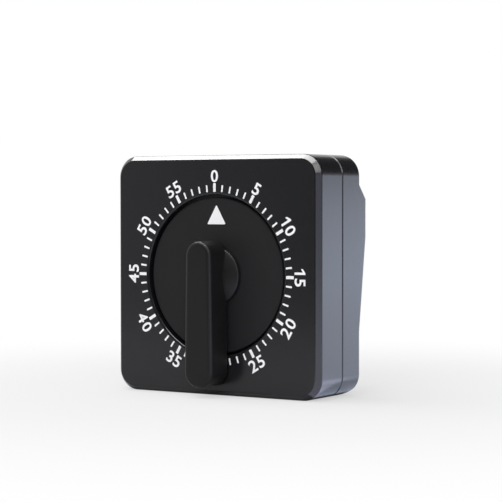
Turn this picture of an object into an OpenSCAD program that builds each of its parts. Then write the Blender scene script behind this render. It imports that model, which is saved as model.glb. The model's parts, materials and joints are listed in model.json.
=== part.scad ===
// Wind-up kitchen timer: a square two-part case, a dial with a lever knob,
// a spring-driven movement between two plates, and a bell behind them.
// The origin is the centre of the base. +Z is up, and the dial faces -Y.

/* [Case] */
// Width of the case
case_w = 68; // [66:0.5:80]
// Height of the case
case_h = 67.6; // [66:0.2:80]
// Depth of the front housing, from the face to the seam
front_d = 12.8; // [12:0.2:15]
// Depth of the rear housing, from the seam to the back
rear_d = 10.2; // [9.4:0.2:12]
// Thickness of the side and back walls
wall = 1.8; // [1.4:0.1:2.2]
// Thickness of the face
face_t = 2; // [1.6:0.1:2.4]
// Radius of the four upright corners
corner_r = 6; // [4:0.5:7]
// Width of the bevel round the face
bevel_w = 1.3; // [0.8:0.1:2]
// Depth of the bevel round the face
bevel_d = 1.6; // [1:0.1:2.4]
// Softening of the two edges of that bevel
bevel_soft = 0.2; // [0.1:0.05:0.4]
// Rounding of the edges round the back
back_edge_r = 1; // [0.6:0.1:2]
// Rounding of the lower edge of the back
foot_r = 5; // [3:0.5:6]
// Chamfer on each side of the seam, which shows as a groove
seam_chamfer = 0.4; // [0.2:0.05:0.6]
// Thickness of the tongue that lines up the two housings
tongue_t = 0.8; // [0.6:0.1:1]
// Length of that tongue past the seam
tongue_len = 1.5; // [1:0.1:2.5]

/* [Raised back] */
// How far the raised part stands out from the back
rise_d = 3.7; // [2.6:0.1:5]
// From the dial's axis to the top of the raised part
rise_up = 25.6; // [25:0.2:27]
// Height of the steep step at its top
rise_step = 4; // [2:0.5:5]
// Height of its flat part
rise_flat = 11; // [11:0.5:14]
// Height of the long slope under the flat
rise_slope = 26.6; // [20:0.2:30]

/* [Case screws and magnets] */
// From the case's sides to the centre of each screw
screw_in = 5.2; // [5:0.1:6]
// Radius of the bosses that the screws hold
boss_r = 3.2; // [3:0.1:3.8]
// Thickness of the rear boss under a screw's head
boss_floor = 2.6; // [2:0.1:3.5]
// Radius of the screw's shank
screw_r = 1.25; // [1:0.05:1.4]
// Radius of the screw's head
screw_head_r = 2.5; // [2.2:0.1:2.7]
// Thickness of the screw's head
screw_head_t = 1.8; // [1.2:0.1:2.2]
// Length of the shank under the head
screw_len = 9.5; // [8:0.5:10.5]
// Radius of each back magnet
magnet_r = 4.5; // [3.5:0.25:5]
// Thickness of each back magnet
magnet_t = 2.6; // [2:0.1:3]
// Half of the distance between the magnets
magnet_x = 20; // [18:0.5:23]
// How far a magnet stands proud of the back
magnet_proud = 0.2; // [0.1:0.05:0.4]
// Plastic round and under a magnet
magnet_wall = 1.2; // [0.8:0.1:1.5]
// Number of sound slots in the back
slot_count = 5; // [3:1:7]
// Width of a sound slot
slot_w = 1.6; // [1:0.1:2]
// Length of a sound slot
slot_len = 10; // [6:1:12]
// Distance from slot to slot
slot_pitch = 4.5; // [3.5:0.5:5]
// Height of the middle of the slots above the base
slot_z = 13; // [11:0.5:14]

/* [Dial and knob] */
// How far the dial's axis lies above the middle of the case
dial_up = 0; // [-0.5:0.1:1]
// Radius of the pointer disc
disc_r = 22; // [20:0.5:23]
// Thickness of the pointer disc
disc_t = 1.5; // [1.2:0.1:1.8]
// Rounding of the disc's rim
disc_edge_r = 0.5; // [0.3:0.1:0.8]
// How deep the disc lies under the face
disc_recess = 1; // [0.4:0.1:1.2]
// Gap round the disc
disc_gap = 0.7; // [0.4:0.1:1]
// Gap behind the disc
disc_back_gap = 0.4; // [0.2:0.1:0.6]
// Rounding of the well's lip
well_lip = 0.7; // [0.3:0.1:1]
// Thickness of the well's floor and wall
well_t = 1.5; // [1.2:0.1:1.6]
// Width of the lever grip at its blunt end
grip_w = 8.2; // [7:0.1:10]
// Width of the lever grip at its tip
grip_tip_w = 9.2; // [7.5:0.1:10.5]
// From the axis to the blunt end of the grip
grip_back = 9.8; // [9:0.1:12]
// From the axis to the tip of the grip
grip_tip = 31; // [26:0.5:32.5]
// How far the grip stands out from the face
grip_rise = 8.9; // [7.5:0.1:11]
// Gap between the grip and the face
grip_gap = 0.4; // [0.3:0.1:0.8]
// Rounding of the grip's front edge
grip_edge_r = 1.2; // [0.6:0.1:1.8]
// Radius of the knob's hub
hub_r = 8.15; // [7.5:0.05:9]
// Height of the hub's rim above the disc
hub_rim = 1.3; // [1:0.1:2]
// Height of the hub's dome above its rim
hub_dome = 2.5; // [1.5:0.1:3]
// Softening of the edge between the hub's rim and its dome
hub_soft = 0.35; // [0.2:0.05:0.5]
// Radius of the knob's stem
stem_r = 3; // [2.6:0.1:3.6]
// Play of the stem in the well's floor, on the radius
stem_play = 0.3; // [0.1:0.05:0.4]
// Radius of the knob's two drive pegs
peg_r = 1; // [0.8:0.1:1.2]
// From the axis to each drive peg
peg_x = 5.5; // [5:0.1:6.5]
// Plastic in front of the arbor inside the knob
bore_floor = 3; // [2:0.1:4]

/* [Movement frame] */
// Width of the movement plates
plate_w = 46; // [46:1:50]
// Height of the movement plates
plate_h = 40; // [40:1:44]
// How far the plates' centre lies above the dial's axis
plate_up = 1.5; // [0.5:0.5:2.5]
// Thickness of the movement plates
plate_t = 1; // [0.8:0.1:1.2]
// Gap between the well's floor and the front plate
plate_clear = 0.8; // [0.5:0.1:1]
// Rounding of the plates' corners
plate_corner_r = 3; // [2:0.5:4]
// Radius of the four pillars
pillar_r = 2; // [1.8:0.1:2.3]
// Radius of the pillars' ends, in the plates
tenon_r = 1.2; // [1:0.1:1.4]
// From the plates' edges to the pillars
pillar_in = 3; // [2.6:0.1:3.5]
// Width across the corners of a pillar nut
nut_w = 5; // [4.4:0.1:5.4]
// Thickness of a pillar nut
nut_t = 1.4; // [1:0.1:1.6]
// Half of the distance between the movement's two screws
ear_x = 26; // [26:0.5:27]
// Radius of the plate's ears and their posts
ear_r = 2.8; // [2.4:0.1:3]
// Radius of the movement screws
ear_screw_r = 1; // [0.8:0.05:1.2]
// Radius of the movement screws' heads
ear_head_r = 1.9; // [1.6:0.1:2.2]
// Thickness of the movement screws' heads
ear_head_t = 1.1; // [0.8:0.1:1.4]

/* [Gear train] */
// Teeth on the main wheel
main_teeth = 56; // [54:1:56]
// Tooth module of the main wheel
main_module = 0.45; // [0.44:0.005:0.46]
// Teeth on the second wheel
second_teeth = 48; // [46:1:48]
// Tooth module of the second wheel
second_module = 0.4; // [0.39:0.005:0.41]
// Teeth on the third wheel
third_teeth = 48; // [46:1:48]
// Tooth module of the third wheel
third_module = 0.32; // [0.31:0.005:0.325]
// Leaves on each pinion
leaves = 8; // [8:1:9]
// Height of a wheel's teeth outside the pitch circle, in modules
wheel_addendum = 0.75; // [0.6:0.05:0.8]
// Height of a pinion's leaves outside the pitch circle, in modules
pinion_addendum = 0.7; // [0.6:0.05:0.8]
// Depth of all teeth inside the pitch circle, in modules
dedendum = 1.2; // [1.1:0.05:1.3]
// Share of a wheel's tooth width that is left out as play
wheel_play = 0.16; // [0.1:0.02:0.24]
// Share of a pinion's leaf width that is left out as play
pinion_play = 0.24; // [0.16:0.02:0.3]
// Thickness of every wheel
wheel_t = 0.8; // [0.6:0.1:1]
// How far a pinion reaches past its wheel's teeth on each side
pinion_over = 0.3; // [0.2:0.05:0.4]
// Width of a wheel's rim, and of the metal round its bore
rim_w = 1.2; // [1:0.1:1.4]
// Width of a wheel's spokes
spoke_w = 1.2; // [0.8:0.1:1.6]
// Number of spokes in a wheel
wheel_spokes = 5; // [3:1:6]
// Radius of the main arbor
main_arbor_r = 1.5; // [1.4:0.05:1.7]
// Radius of the other arbors
arbor_r = 0.85; // [0.8:0.05:0.9]
// Radius of the pivots on the other arbors
pivot_r = 0.5; // [0.4:0.05:0.6]
// Play of a pivot in its hole, on the radius
pivot_play = 0.04; // [0.02:0.01:0.06]
// End play of an arbor between the plates
end_play = 0.15; // [0.1:0.05:0.3]

/* [Escapement] */
// Teeth on the escape wheel
escape_teeth = 15; // [14:1:15]
// Radius to the tips of the escape wheel
escape_r = 5.4; // [5.2:0.1:5.5]
// Radius to the roots of the escape wheel
escape_root_r = 4.1; // [3.8:0.1:4.2]
// From the escape arbor to the anchor's arbor
anchor_dist = 7.8; // [7.6:0.1:8.2]
// Thickness of the anchor
anchor_t = 0.7; // [0.6:0.05:0.8]
// Width of the anchor's two arms
anchor_w = 1.3; // [1.1:0.1:1.5]
// Radius of the anchor's pins
pin_r = 0.3; // [0.25:0.05:0.3]
// Gap from a pin to the wheel's tips at mid swing
pin_gap = 0.12; // [0.1:0.02:0.2]
// Half of the length of the balance bar
balance_len = 6.2; // [5:0.1:6.3]
// Thickness of the balance bar
balance_t = 0.9; // [0.7:0.1:1]
// Width of the balance bar
balance_w = 1.6; // [1.2:0.1:2]
// Radius of the weights at its ends
balance_end_r = 1.3; // [1:0.1:1.5]

/* [Mainspring and click] */
// Outer radius of the wound spring
spring_r = 9.4; // [8.5:0.1:9.5]
// Thickness of the spring strip
spring_strip = 0.3; // [0.2:0.05:0.4]
// Width of the spring strip
spring_w = 3.6; // [3:0.1:3.8]
// Turns of the spring
spring_turns = 6; // [4:0.5:7]
// Radius to the tips of the ratchet wheel
ratchet_r = 4.6; // [4.4:0.1:4.8]
// Depth of the ratchet's teeth
ratchet_depth = 0.9; // [0.7:0.1:1]
// Teeth on the ratchet wheel
ratchet_teeth = 16; // [14:1:18]
// Length of the click, from its tip to its post
click_len = 7; // [6.5:0.1:7.2]
// Radius of the click round its post
click_r = 1.1; // [1:0.05:1.2]
// Width of the flat springs behind the click and the hammer
flat_w = 0.4; // [0.3:0.05:0.5]

/* [Bell and hammer] */
// Radius of the bell
bell_r = 15; // [13.5:0.5:15.5]
// Height of the bell, from rim to crown
bell_d = 3; // [2.6:0.1:3.2]
// Thickness of the bell's metal
bell_t = 0.8; // [0.6:0.1:1]
// How far the bell's centre lies above the dial's axis
bell_up = 7.5; // [7.3:0.1:8]
// Free space between the bell's crown and the back wall
bell_clear = 2.7; // [2.4:0.1:4]
// Gap between the hammer's arms and the bell's rim
bell_under = 0.6; // [0.5:0.1:0.8]
// Radius of the bell's post
bell_post_r = 1.4; // [1.2:0.1:1.5]
// Radius of the bell's screw
bell_screw_r = 0.6; // [0.5:0.05:0.7]
// How far the hammer's head stands from the bell at rest
head_gap = 1.6; // [1.5:0.1:2]
// Radius of the alarm cam
cam_r = 5; // [4.8:0.1:5.2]
// Depth of the alarm cam's notch
cam_notch = 1.1; // [1:0.05:1.3]
// Gap between the back plate and the alarm cam
strike_gap = 0.4; // [0.3:0.1:0.5]
// Thickness of the cam, the strike wheel and the hammer
strike_t = 1; // [0.8:0.1:1]
// Radius of the strike wheel
strike_r = 3.2; // [3:0.1:3.3]
// Points on the strike wheel
strike_points = 6; // [5:1:6]
// Width of the hammer's arms
hammer_w = 2; // [1.6:0.1:2.2]
// Radius of the hammer's head
hammer_head_r = 1.5; // [1.2:0.1:1.6]
// Length of the hammer's head
hammer_head_len = 2.2; // [1.8:0.1:2.6]
// Radius of the hammer's post
hammer_post_r = 1; // [0.8:0.1:1.2]

/* [Hidden] */
$fn = 96;
eps = 0.01;
// How far a cutting shape reaches past what it cuts
over = 1;
// Straight pieces that stand for a rounded edge in a drawn section
arc_steps = 6;
// Clearance of pieces that are pressed or screwed together
fit = 0.03;
// Play of a piece that only lies or slides in its place
slack = 0.1;
// How far a stud or an arbor stands past the piece that it holds
stub = 0.3;
// How far a small shoulder is stepped in
step_in = 0.4;
// Depth and width of a screwdriver slot
slot_cut = 0.5;
pressure_angle = 20;
total_d = front_d + rear_d;
face_y = -total_d / 2;
axis_z = case_h / 2 + dial_up;
inner_w = case_w - 2 * wall;
inner_h = case_h - 2 * wall;
inner_r = corner_r - wall;
well_r = disc_r + disc_gap;
well_d = disc_recess + disc_t + disc_back_gap;
well_back = well_d + well_t;
// Depth of the raised part's outer surface
far_d = total_d + rise_d;
// Heights of the raised part's four corners, from the case's middle
rise_top = dial_up + rise_up;
rise_high = rise_top - rise_step;
rise_low = rise_high - rise_flat;
rise_end = rise_low - rise_slope;
magnet_z = (rise_high + rise_low) / 2;
// Depths of the bell and of the movement's plates, from the face
bell_crown = far_d - wall - bell_clear;
bell_y = bell_crown - bell_d;
strike_y = bell_y - bell_under - strike_t;
back_plate_y = strike_y - strike_gap - plate_t;
front_plate_y = well_back + plate_clear;
gap_y = front_plate_y + plate_t;
plate_gap = back_plate_y - gap_y;
// Seven flat pieces share the space between the plates, with one gap between each
level_gap = (plate_gap - 5 * wheel_t - anchor_t - balance_t) / 8;
second_y = gap_y + level_gap;
main_y = second_y + wheel_t + level_gap;
ratchet_y = main_y + wheel_t + level_gap;
third_y = ratchet_y + wheel_t + level_gap;
escape_y = third_y + wheel_t + level_gap;
anchor_y = escape_y + wheel_t + level_gap;
balance_y = anchor_y + anchor_t + level_gap;
spring_y = third_y;
// The knob
blunt_r = grip_w / 2;
tip_r = grip_tip_w / 2;
blunt_z = grip_back - blunt_r;
grip_span = blunt_z + grip_tip - tip_r;
grip_taper = asin((tip_r - blunt_r) / grip_span);
stem_end = front_plate_y - stub;
arbor_tip = bore_floor + 2 * slack - grip_rise;
// Places of the arbors, [x, z] from the dial's axis
main_dist = main_module * (main_teeth + leaves) / 2;
second_dist = second_module * (second_teeth + leaves) / 2;
third_dist = third_module * (third_teeth + leaves) / 2;
second_dir = 60;
third_dir = 150;
escape_dir = 200;
anchor_dir = 225;
main_at = [0, 0];
second_at = away(main_at, main_dist, second_dir);
third_at = away(second_at, second_dist, third_dir);
escape_at = away(third_at, third_dist, escape_dir);
anchor_at = away(escape_at, anchor_dist, anchor_dir);
pillars_at = [for (sx = [-1, 1], sz = [-1, 1])
    [sx * (plate_w / 2 - pillar_in), plate_up + sz * (plate_h / 2 - pillar_in)]];
ears_at = [[-ear_x, plate_up], [ear_x, plate_up]];
screws_at = [for (sx = [-1, 1], sz = [-1, 1])
    [sx * (case_w / 2 - screw_in), sz * (case_h / 2 - screw_in)]];
// Tooth phases that put each wheel in mesh with its pinion
main_phase = 0;
second_pinion_phase = mesh(main_teeth, main_phase, second_dir, leaves);
second_phase = 0;
third_pinion_phase = mesh(second_teeth, second_phase, third_dir, leaves);
third_phase = 0;
escape_pinion_phase = mesh(third_teeth, third_phase, escape_dir, leaves);
// Teeth of the escape wheel between the anchor's two pins
pin_span = 3.5;
pin_angle = pin_span * 360 / escape_teeth / 2;
pin_orbit = escape_r + pin_r + pin_gap;
pins_at = [for (s = [-1, 1]) away(escape_at, pin_orbit, anchor_dir + s * pin_angle)];
escape_phase = anchor_dir + pin_angle + 90 / escape_teeth;
// The click, on the main wheel. "out" is from its tip outwards, "back" is along it to its post
click_angle = 20;
click_gap = 0.12;
click_rise = 0.4;
click_pin_r = 0.5;
click_tip_w = 1.1;
click_hook_out = 0.9;
click_hook_back = 1.2;
click_arch_out = 1;
click_arch_back = 3;
click_arm_w = 1.2;
click_foot_out = 3.6;
click_foot_back = click_len + 0.5;
click_tip_r = ratchet_r - ratchet_depth + click_gap;
click_at = click_place(click_rise, click_len);
// The flat on the main arbor's front end, from the arbor's centre
arbor_flat = 1.05;
// The bell and the hammer, from the dial's axis
bell_screw_in = 2;
bell_screw_len = bell_t + bell_screw_in;
bell_at = [0, bell_up];
hammer_x = 8;
hammer_z = -11;
hammer_at = [hammer_x, hammer_z];
nose_r = 0.8;
nose_reach = 2.8;
nose_at = [cam_r + nose_r + 2 * slack, 0];
pallet_r = 0.6;
pallet_gap = 0.6;
pallet_at = second_at + [strike_r + pallet_gap + pallet_r, 0];
shoulder_len = 3;
shoulder_at = pallet_at + [shoulder_len, 0];
elbow_x = 13.6;
elbow_z = 1;
elbow_at = [elbow_x, elbow_z];
head_dir = -4;
head_at = bell_at + polar(bell_r + head_gap + hammer_head_r, head_dir);
head_pin_r = 0.6;

function polar(r, a) = [r * cos(a), r * sin(a)];
function away(from, distance, direction) = from + polar(distance, direction);
function mirrored(points) = [for (i = [len(points) - 1:-1:0]) [-points[i][0], points[i][1]]];
function reversed(points) = [for (i = [len(points) - 1:-1:0]) points[i]];

// A place near the click: out from its tip, and back along the click
function click_place(out, back) = polar(click_tip_r + out, click_angle) + polar(back, click_angle + 90);

// Phase of a pinion that meshes with a wheel: a tooth of one meets a space of the other
function mesh(teeth, phase, direction, pinion) =
    direction + 180 - (0.5 - (direction - phase) * teeth / 360) * 360 / pinion;

// Involute of an angle, in degrees
function involute(a) = tan(a) * 180 / PI - a;

// Half of a tooth's angle at radius r
function half_tooth(teeth, module_mm, r, play) =
    let (base_r = teeth * module_mm / 2 * cos(pressure_angle))
    90 / teeth * (1 - play) + involute(pressure_angle) - involute(acos(min(1, base_r / r)));

// Arc of radius r from angle a to angle b
function arc(centre, r, a, b) =
    [for (i = [0:arc_steps]) centre + polar(r, a + (b - a) * i / arc_steps)];

// Moves its children from the dial's own frame to the base's frame
module seat() translate([0, face_y, axis_z]) children();

// Moves its children from the case's own frame, at the middle of its face, to the base's frame
module case_seat() translate([0, face_y, case_h / 2]) children();

// Puts its children at [x, z] on the dial
module at(place) translate([place[0], 0, place[1]]) children();

// A flat piece of thickness t, upright and parallel to the face, its front at depth y
module slab(y, t) translate([0, y + t, 0]) rotate([90, 0, 0]) linear_extrude(t) children();

// A turned piece, from a profile of [radius, depth]
module turned() rotate([-90, 0, 0]) rotate_extrude() children();

// A piece of width w across the case, from a profile of [depth, height]
module across(w) rotate([90, 0, 90]) linear_extrude(w, center = true) children();

module rod(y, length, r) slab(y, length) circle(r);

// A bar with round ends from one place to another
module bar(from, to, width) {
    step = to - from;
    translate(from) {
        rotate(atan2(step[1], step[0])) translate([0, -width / 2]) square([norm(step), width]);
        circle(width / 2);
    }
    translate(to) circle(width / 2);
}

module round_rect(w, h, r) {
    square([w - 2 * r, h], center = true);
    square([w, h - 2 * r], center = true);
    for (sx = [-1, 1], sz = [-1, 1])
        translate([sx * (w / 2 - r), sz * (h / 2 - r)]) circle(r);
}

// A box with round upright corners, whose edge follows a profile of [inset, depth]
module edged_box(w, h, r, profile) {
    first = profile[0][1];
    last = profile[len(profile) - 1][1];
    side = [for (p = profile) [w / 2 - p[0], p[1]]];
    rim = [for (p = profile) [h / 2 - p[0], p[1]]];
    linear_extrude(h - 2 * r, center = true) polygon(concat(side, mirrored(side)));
    across(w - 2 * r) polygon([for (p = concat(rim, mirrored(rim))) [p[1], p[0]]]);
    for (sx = [-1, 1], sz = [-1, 1])
        at([sx * (w / 2 - r), sz * (h / 2 - r)])
            turned() polygon(concat([[0, first]], [for (p = profile) [r - p[0], p[1]]], [[0, last]]));
}

// A toothed wheel: involute flanks above the base circle, radial ones under it
module gear(teeth, module_mm, phase, addendum, play) {
    pitch_r = teeth * module_mm / 2;
    base_r = pitch_r * cos(pressure_angle);
    root_r = pitch_r - dedendum * module_mm;
    tip_r = pitch_r + addendum * module_mm;
    radii = [root_r, max(base_r, root_r) + eps, pitch_r, (pitch_r + tip_r) / 2, tip_r];
    rotate(phase) polygon([for (k = [0:teeth - 1], side = [-1, 1], i = [0:len(radii) - 1])
        let (r = radii[side < 0 ? i : len(radii) - 1 - i])
        polar(r, k * 360 / teeth + side * half_tooth(teeth, module_mm, r, play))]);
}

// A train wheel with a bore for its arbor, crossed out to leave its spokes
module train_wheel(y, teeth, module_mm, phase, bore_r, spokes) {
    rim_r = teeth * module_mm / 2 - dedendum * module_mm - rim_w;
    slab(y, wheel_t) difference() {
        gear(teeth, module_mm, phase, wheel_addendum, wheel_play);
        circle(bore_r);
        if (spokes > 0) difference() {
            circle(rim_r);
            circle(bore_r + rim_w);
            for (i = [0:spokes - 1]) rotate(i * 360 / spokes) translate([0, -spoke_w / 2])
                square([rim_r + eps, spoke_w]);
        }
    }
}

// An arbor between the plates, with a pivot in each. tail is its length past the back plate's front
module arbor(tail, tail_r) {
    rod(gap_y + end_play, plate_gap - 2 * end_play, arbor_r);
    rod(front_plate_y - stub, plate_t + end_play + stub + eps, pivot_r);
    rod(back_plate_y - end_play - eps, tail + end_play + eps, tail_r);
}

// An arbor with a pinion that meshes with the wheel at depth wheel_y
module pinion_arbor(module_mm, phase, wheel_y, tail, tail_r) {
    arbor(tail, tail_r);
    slab(wheel_y - pinion_over, wheel_t + 2 * pinion_over)
        gear(leaves, module_mm, phase, pinion_addendum, pinion_play);
}

// The end of a screw's head, cut for a screwdriver
module slotted_head(y, t, r) difference() {
    rod(y, t, r);
    slab(y + t - slot_cut, over) square([2 * r + over, slot_cut], center = true);
}

// ---------------------------------------------------------------- case

module front_shell() {
    slope = norm([bevel_w, bevel_d]);
    soft = [bevel_w, bevel_d] * bevel_soft / slope;
    bevel = [[bevel_w + bevel_soft, 0], [bevel_w - soft[0], soft[1]], [soft[0], bevel_d - soft[1]],
        [0, bevel_d + bevel_soft]];
    seam = [[0, front_d - seam_chamfer], [seam_chamfer, front_d]];
    lip = arc([well_r + well_lip, well_lip], well_lip, 270, 180);
    post_d = front_plate_y - face_t;
    color("#2b2b2f") difference() {
        union() {
            case_seat() {
                difference() {
                    edged_box(case_w, case_h, corner_r, concat(bevel, seam));
                    slab(face_t, front_d) round_rect(inner_w, inner_h, inner_r);
                }
                slab(front_d - over, over + tongue_len) difference() {
                    round_rect(inner_w + 2 * tongue_t, inner_h + 2 * tongue_t, inner_r + tongue_t);
                    round_rect(inner_w, inner_h, inner_r);
                }
                for (p = screws_at) at(p) rod(face_t - eps, front_d - face_t - slack, boss_r);
            }
            seat() {
                rod(face_t - eps, well_back - face_t + eps, well_r + well_t);
                for (p = ears_at) at(p) rod(face_t - eps, post_d + eps, ear_r);
            }
        }
        seat() {
            turned() polygon(concat([[0, -over], [well_r + 2 * well_lip, -over], [well_r + well_lip, 0]],
                lip, [[well_r, well_d], [0, well_d]]));
            rod(well_d - eps, well_t + 2 * eps, stem_r + stem_play);
            for (p = ears_at) at(p) rod(face_t, post_d + over, ear_screw_r + fit);
        }
        case_seat() for (p = screws_at) at(p)
            rod(front_d + boss_floor - screw_len - stub, screw_len, screw_r + fit);
    }
}

// The raised part, or with an inset the hollow under it
module raised_back(inset) {
    d = total_d - inset;
    far = far_d - inset;
    drop = inset * (norm([rise_d, rise_step]) - rise_step) / rise_d;
    lift = inset * (norm([rise_d, rise_slope]) - rise_slope) / rise_d;
    across(case_w - 2 * inset) polygon([[d - back_edge_r - over, rise_top - drop], [d, rise_top - drop],
        [far, rise_high - drop], [far, rise_low + lift], [d, rise_end + lift],
        [d - back_edge_r - over, rise_end + lift]]);
}

// What the rounding of the lower edge takes away, or with an inset what it takes from the hollow
module foot_corner(inset) {
    across(case_w + 2 * over) difference() {
        translate([total_d - foot_r, -case_h / 2 - over]) square(foot_r + over);
        translate([total_d - foot_r, foot_r - case_h / 2]) circle(foot_r - inset);
    }
}

module rear_cover() {
    seam = [[seam_chamfer, front_d], [0, front_d + seam_chamfer]];
    edge = arc([back_edge_r, total_d - back_edge_r], back_edge_r, 180, 90);
    far_edge = arc([case_w / 2 - back_edge_r, far_d - back_edge_r], back_edge_r, 0, 90);
    plan = concat([[case_w / 2, front_d + over]], far_edge);
    color("#2b2b2f") case_seat() difference() {
        union() {
            difference() {
                union() {
                    edged_box(case_w, case_h, corner_r, concat(seam, edge));
                    intersection() {
                        raised_back(0);
                        linear_extrude(case_h, center = true) polygon(concat(plan, mirrored(plan)));
                    }
                }
                difference() {
                    slab(front_d - over, rear_d - wall + over) round_rect(inner_w, inner_h, inner_r);
                    foot_corner(wall);
                }
                raised_back(wall);
            }
            for (p = screws_at) at(p) rod(front_d, rear_d - wall / 2, boss_r);
            for (sx = [-1, 1]) at([sx * magnet_x, magnet_z])
                rod(far_d - magnet_t - magnet_wall, magnet_t + magnet_wall / 2, magnet_r + magnet_wall);
        }
        foot_corner(0);
        slab(front_d - over, tongue_len + over + slack) difference() {
            round_rect(inner_w + 2 * (tongue_t + slack), inner_h + 2 * (tongue_t + slack),
                inner_r + tongue_t + slack);
            round_rect(inner_w - eps, inner_h - eps, inner_r);
        }
        for (p = screws_at) at(p) {
            rod(front_d - over, far_d, screw_r + slack);
            rod(front_d + boss_floor, far_d, screw_head_r + 2 * slack);
        }
        for (sx = [-1, 1]) at([sx * magnet_x, magnet_z])
            rod(far_d + magnet_proud - magnet_t, magnet_t, magnet_r + fit);
        for (i = [0:slot_count - 1])
            at([(i - (slot_count - 1) / 2) * slot_pitch, slot_z - case_h / 2])
                slab(total_d - 2 * wall, 3 * wall) bar([0, (slot_w - slot_len) / 2],
                    [0, (slot_len - slot_w) / 2], slot_w);
    }
}

module case_screws() {
    seat_y = front_d + boss_floor;
    cross_len = 3;
    cross_w = 0.7;
    color("#9a9a9c") case_seat() for (p = screws_at) at(p) {
        difference() {
            rod(seat_y, screw_head_t, screw_head_r);
            slab(seat_y + screw_head_t / 2, screw_head_t) {
                square([cross_len, cross_w], center = true);
                square([cross_w, cross_len], center = true);
            }
        }
        rod(seat_y - screw_len, screw_len + eps, screw_r);
    }
}

module back_magnets() {
    color("#8c8c90") case_seat() for (sx = [-1, 1]) at([sx * magnet_x, magnet_z])
        rod(far_d + magnet_proud - magnet_t, magnet_t, magnet_r);
}

// ------------------------------------------------------------ movement frame

// Outline of a plate, with its pillar holes
module plate_outline() difference() {
    translate([0, plate_up]) round_rect(plate_w, plate_h, plate_corner_r);
    for (p = pillars_at) translate(p) circle(tenon_r + fit);
    circle(main_arbor_r + pivot_play);
}

module front_plate() {
    color("#c9b37a") seat() slab(front_plate_y, plate_t) difference() {
        union() {
            plate_outline();
            for (p = ears_at) bar(p, [sign(p[0]) * (plate_w / 2 - ear_r), p[1]], 2 * ear_r);
        }
        for (p = ears_at) translate(p) circle(ear_screw_r + slack);
        for (p = [second_at, third_at, escape_at, anchor_at]) translate(p) circle(pivot_r + pivot_play);
    }
}

module back_plate() {
    color("#c9b37a") seat() slab(back_plate_y, plate_t) difference() {
        plate_outline();
        translate(second_at) circle(arbor_r + pivot_play);
        for (p = [third_at, escape_at, anchor_at]) translate(p) circle(pivot_r + pivot_play);
        translate(bell_at) circle(bell_post_r - step_in + fit);
        translate(hammer_at) circle(hammer_post_r - step_in + fit);
    }
}

module pillars() {
    color("#b8b8bc") seat() for (p = pillars_at) at(p) {
        rod(gap_y, plate_gap, pillar_r);
        rod(front_plate_y, plate_t + eps, tenon_r);
        rod(back_plate_y - eps, plate_t + nut_t + stub, tenon_r);
    }
}

module pillar_nuts() {
    color("#c8c8cc") seat() for (p = pillars_at) at(p)
        slab(back_plate_y + plate_t, nut_t) difference() {
            circle(nut_w / 2, $fn = 6);
            circle(tenon_r + fit);
        }
}

module movement_screws() {
    tip_y = face_t + step_in;
    color("#9a9a9c") seat() for (p = ears_at) at(p) {
        slotted_head(gap_y, ear_head_t, ear_head_r);
        rod(tip_y, gap_y - tip_y + eps, ear_screw_r);
    }
}

// ------------------------------------------------------------ bell and hammer

module bell_post() {
    foot_y = back_plate_y + plate_t;
    top_y = bell_crown - bell_t;
    color("#b8b8bc") seat() at(bell_at) difference() {
        union() {
            rod(back_plate_y, plate_t + eps, bell_post_r - step_in);
            rod(foot_y, top_y - foot_y, bell_post_r);
        }
        rod(bell_crown - bell_screw_len - 2 * slack, bell_screw_len, bell_screw_r + fit);
    }
}

module bell() {
    bend = bell_d - 1.5 * bell_t;
    outer = concat([[bell_r, bell_y], [bell_r, bell_crown - bend]],
        [for (i = [1:arc_steps]) let (a = i * 90 / arc_steps)
            [bell_r - 2 * bend * (1 - cos(a)), bell_crown - bend + bend * sin(a)]]);
    inner = [for (p = reversed(outer)) [p[0] - bell_t, max(bell_y, p[1] - bell_t)]];
    color("#d8d8dc") seat() at(bell_at) difference() {
        turned() polygon(concat(outer, [[0, bell_crown], [0, bell_crown - bell_t]], inner));
        rod(bell_crown - 2 * bell_t, 3 * bell_t, bell_screw_r + slack);
    }
}

module bell_screw() {
    color("#9a9a9c") seat() at(bell_at) {
        slotted_head(bell_crown, bell_post_r - step_in, bell_post_r);
        rod(bell_crown - bell_screw_len, bell_screw_len + eps, bell_screw_r);
    }
}

module hammer_post() {
    foot_y = back_plate_y + plate_t;
    color("#b8b8bc") seat() at(hammer_at) {
        rod(back_plate_y, plate_t + eps, hammer_post_r - step_in);
        rod(foot_y, strike_gap - slack, hammer_post_r + 2 * step_in);
        rod(foot_y, strike_gap + strike_t + stub, hammer_post_r);
    }
}

module hammer_spring() {
    foot_x = 8;
    foot_z = -1;
    rest_z = -1.5;
    foot = hammer_at + [foot_x, foot_z];
    rest = elbow_at + [hammer_w / 2 + flat_w / 2 + stub, rest_z];
    color("#cfd2d6") seat() {
        slab(strike_y + stub, flat_w) bar(foot, rest, flat_w);
        at(foot) rod(back_plate_y + plate_t, strike_gap + stub + flat_w / 2, 2 * flat_w);
    }
}

// ------------------------------------------------------------ knob and main arbor

module pointer_disc() {
    front = disc_recess;
    back = front + disc_t;
    edge = arc([disc_r - disc_edge_r, front + disc_edge_r], disc_edge_r, 0, -90);
    color("#29292b") seat() difference() {
        turned() polygon(concat([[0, back], [disc_r, back]], edge, [[0, front]]));
        rod(front - over, disc_t + 2 * over, stem_r + fit);
        for (sx = [-1, 1]) at([sx * peg_x, 0]) rod(front - over, disc_t + 2 * over, peg_r + fit);
    }
}

// Section of the grip's rounded side, at distance r from its middle plane
function grip_side(r) = concat([[r, -grip_gap]],
    arc([r - grip_edge_r, grip_edge_r - grip_rise], grip_edge_r, 0, -90));

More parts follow.
